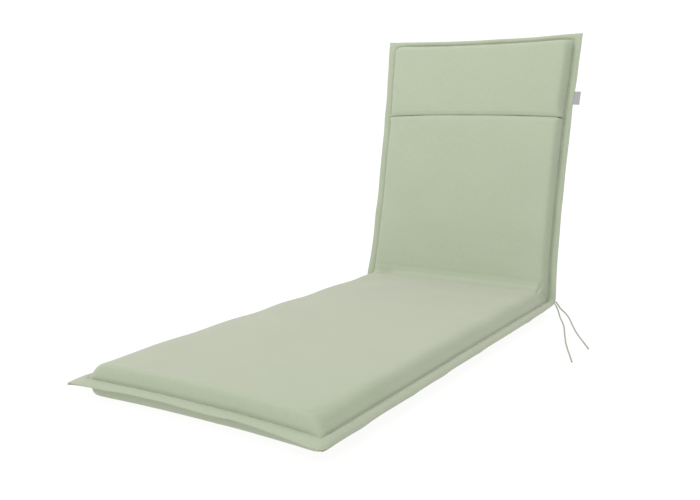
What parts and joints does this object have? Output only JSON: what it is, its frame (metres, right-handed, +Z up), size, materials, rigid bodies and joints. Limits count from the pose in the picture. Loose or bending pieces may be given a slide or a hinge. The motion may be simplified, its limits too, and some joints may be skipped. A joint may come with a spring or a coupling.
{
  "type": "sun lounger cushion",
  "caption": "Long padded sun lounger cushion, bent with its back raised, with a flat stitched border, a sewn headrest channel, a woven side tab and thin tie cords at the fold.",
  "frame": {"origin": "middle of the seat's flat underside, on the surface that the cushion rests on", "axes": "+Z up, +Y from the foot end towards the raised back, +X across the width towards the side with the tab and the ties"},
  "size_m": [0.7707, 1.3029, 0.758],
  "materials": {
    "pad_cloth": "matt plain-woven polyester canvas, sage green",
    "tab_ribbon": "smooth woven satin ribbon, pale grey, bare of print",
    "tie_cord": "matt sewn cord of the same cloth, grey green"
  },
  "bodies": {
    "root": {"pad": "pad_cloth", "woven_tab": "tab_ribbon", "tie_front": "tie_cord", "tie_rear": "tie_cord"}
  },
  "joints": []
}
